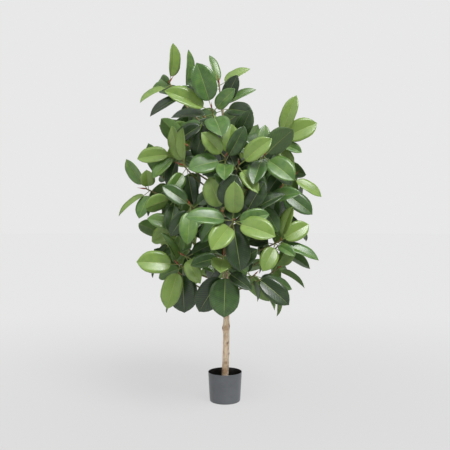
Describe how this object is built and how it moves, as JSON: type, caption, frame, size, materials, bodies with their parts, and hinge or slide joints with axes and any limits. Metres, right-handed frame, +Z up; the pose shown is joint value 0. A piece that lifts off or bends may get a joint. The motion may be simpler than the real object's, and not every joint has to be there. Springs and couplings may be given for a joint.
{
  "type": "potted rubber plant",
  "caption": "Tall rubber plant with broad glossy oval leaves on shoots all round a bare wooden trunk, in a plain round dark plastic pot.",
  "frame": {"origin": "middle of the flat underside of the pot, on the surface it stands on", "axes": "+Z up along the trunk, -Y towards the front of the plant, +X to its right"},
  "size_m": [1.0116, 0.9654, 1.7927],
  "materials": {
    "pot_plastic": "satin dark grey moulded plastic",
    "potting_soil": "dry crumbly peat and bark potting soil",
    "trunk_wood": "pale peeled wood with small brown knots",
    "leaf_green": "waxy glossy green leaves with pale midribs on green stems, red bud sheaths"
  },
  "bodies": {
    "root": {"pot": "pot_plastic", "shoot_bottom_centre": "leaf_green", "shoot_bottom_left": "leaf_green", "shoot_bottom_left_inner": "leaf_green", "shoot_bottom_right": "leaf_green", "shoot_centre": "leaf_green", "shoot_centre_high": "leaf_green", "shoot_centre_left": "leaf_green", "shoot_centre_right": "leaf_green", "shoot_far_left": "leaf_green", "shoot_far_right": "leaf_green", "shoot_inner_01": "leaf_green", "shoot_inner_02": "leaf_green", "shoot_inner_03": "leaf_green", "shoot_inner_04": "leaf_green", "shoot_inner_left": "leaf_green", "shoot_left_high": "leaf_green", "shoot_left_high_inner": "leaf_green", "shoot_left_low": "leaf_green", "shoot_left_mid": "leaf_green", "shoot_low_centre": "leaf_green", "shoot_mid_left": "leaf_green", "shoot_rear_01": "leaf_green", "shoot_rear_02": "leaf_green", "shoot_rear_03": "leaf_green", "shoot_rear_04": "leaf_green", "shoot_rear_05": "leaf_green", "shoot_rear_06": "leaf_green", "shoot_rear_07": "leaf_green", "shoot_rear_08": "leaf_green", "shoot_rear_09": "leaf_green", "shoot_rear_10": "leaf_green", "shoot_rear_11": "leaf_green", "shoot_rear_12": "leaf_green", "shoot_rear_13": "leaf_green", "shoot_rear_14": "leaf_green", "shoot_rear_15": "leaf_green", "shoot_rear_16": "leaf_green", "shoot_rear_17": "leaf_green", "shoot_rear_18": "leaf_green", "shoot_rear_19": "leaf_green", "shoot_rear_20": "leaf_green", "shoot_right_centre": "leaf_green", "shoot_right_high": "leaf_green", "shoot_right_high_inner": "leaf_green", "shoot_right_inner": "leaf_green", "shoot_right_low": "leaf_green", "shoot_right_mid": "leaf_green", "shoot_right_top": "leaf_green", "shoot_top_back_left": "leaf_green", "shoot_top_back_right": "leaf_green", "shoot_top_front": "leaf_green", "shoot_top_left": "leaf_green", "shoot_top_right": "leaf_green", "shoot_upper_left": "leaf_green", "soil": "potting_soil", "trunk": "trunk_wood"}
  },
  "joints": []
}
